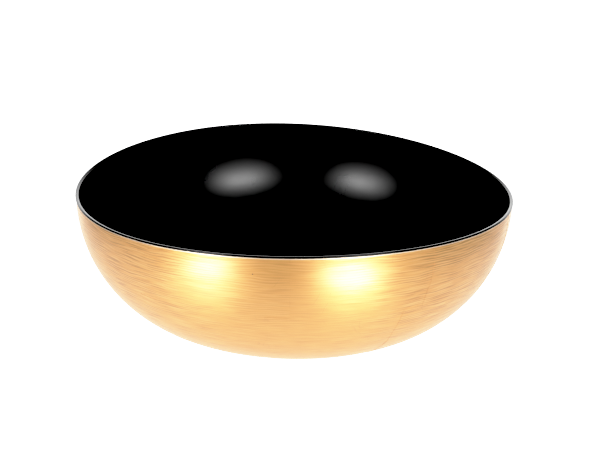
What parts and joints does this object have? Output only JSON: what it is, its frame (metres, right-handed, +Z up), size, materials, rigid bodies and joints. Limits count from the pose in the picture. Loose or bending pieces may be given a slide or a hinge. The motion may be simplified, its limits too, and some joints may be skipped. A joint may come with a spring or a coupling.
{
  "type": "bowl",
  "caption": "Round turned wooden bowl, gloss black lacquer inside and over the lip, gold leaf outside, low black foot ring, for serving or display.",
  "frame": {"origin": "middle of the foot ring's resting face", "axes": "+Z up, along the axis the bowl was turned on, out of its mouth; -Y towards the front"},
  "size_m": [0.25, 0.25, 0.082],
  "materials": {
    "turned_wood": "turned",
    "black_lacquer": "gloss",
    "black_ground": "satin",
    "gold_leaf": "satin"
  },
  "bodies": {
    "root": {"wood_core": "turned_wood", "inside_lacquer": "black_lacquer", "lip_lacquer": "black_lacquer", "foot_lacquer": "black_lacquer", "leaf_ground": "black_ground", "lower_leaf_01": "gold_leaf", "lower_leaf_02": "gold_leaf", "lower_leaf_03": "gold_leaf", "lower_leaf_04": "gold_leaf", "lower_leaf_05": "gold_leaf", "lower_leaf_06": "gold_leaf", "lower_leaf_07": "gold_leaf", "lower_leaf_08": "gold_leaf", "lower_leaf_09": "gold_leaf", "lower_leaf_10": "gold_leaf", "upper_leaf_01": "gold_leaf", "upper_leaf_02": "gold_leaf", "upper_leaf_03": "gold_leaf", "upper_leaf_04": "gold_leaf", "upper_leaf_05": "gold_leaf", "upper_leaf_06": "gold_leaf", "upper_leaf_07": "gold_leaf", "upper_leaf_08": "gold_leaf", "upper_leaf_09": "gold_leaf", "upper_leaf_10": "gold_leaf"}
  },
  "joints": []
}
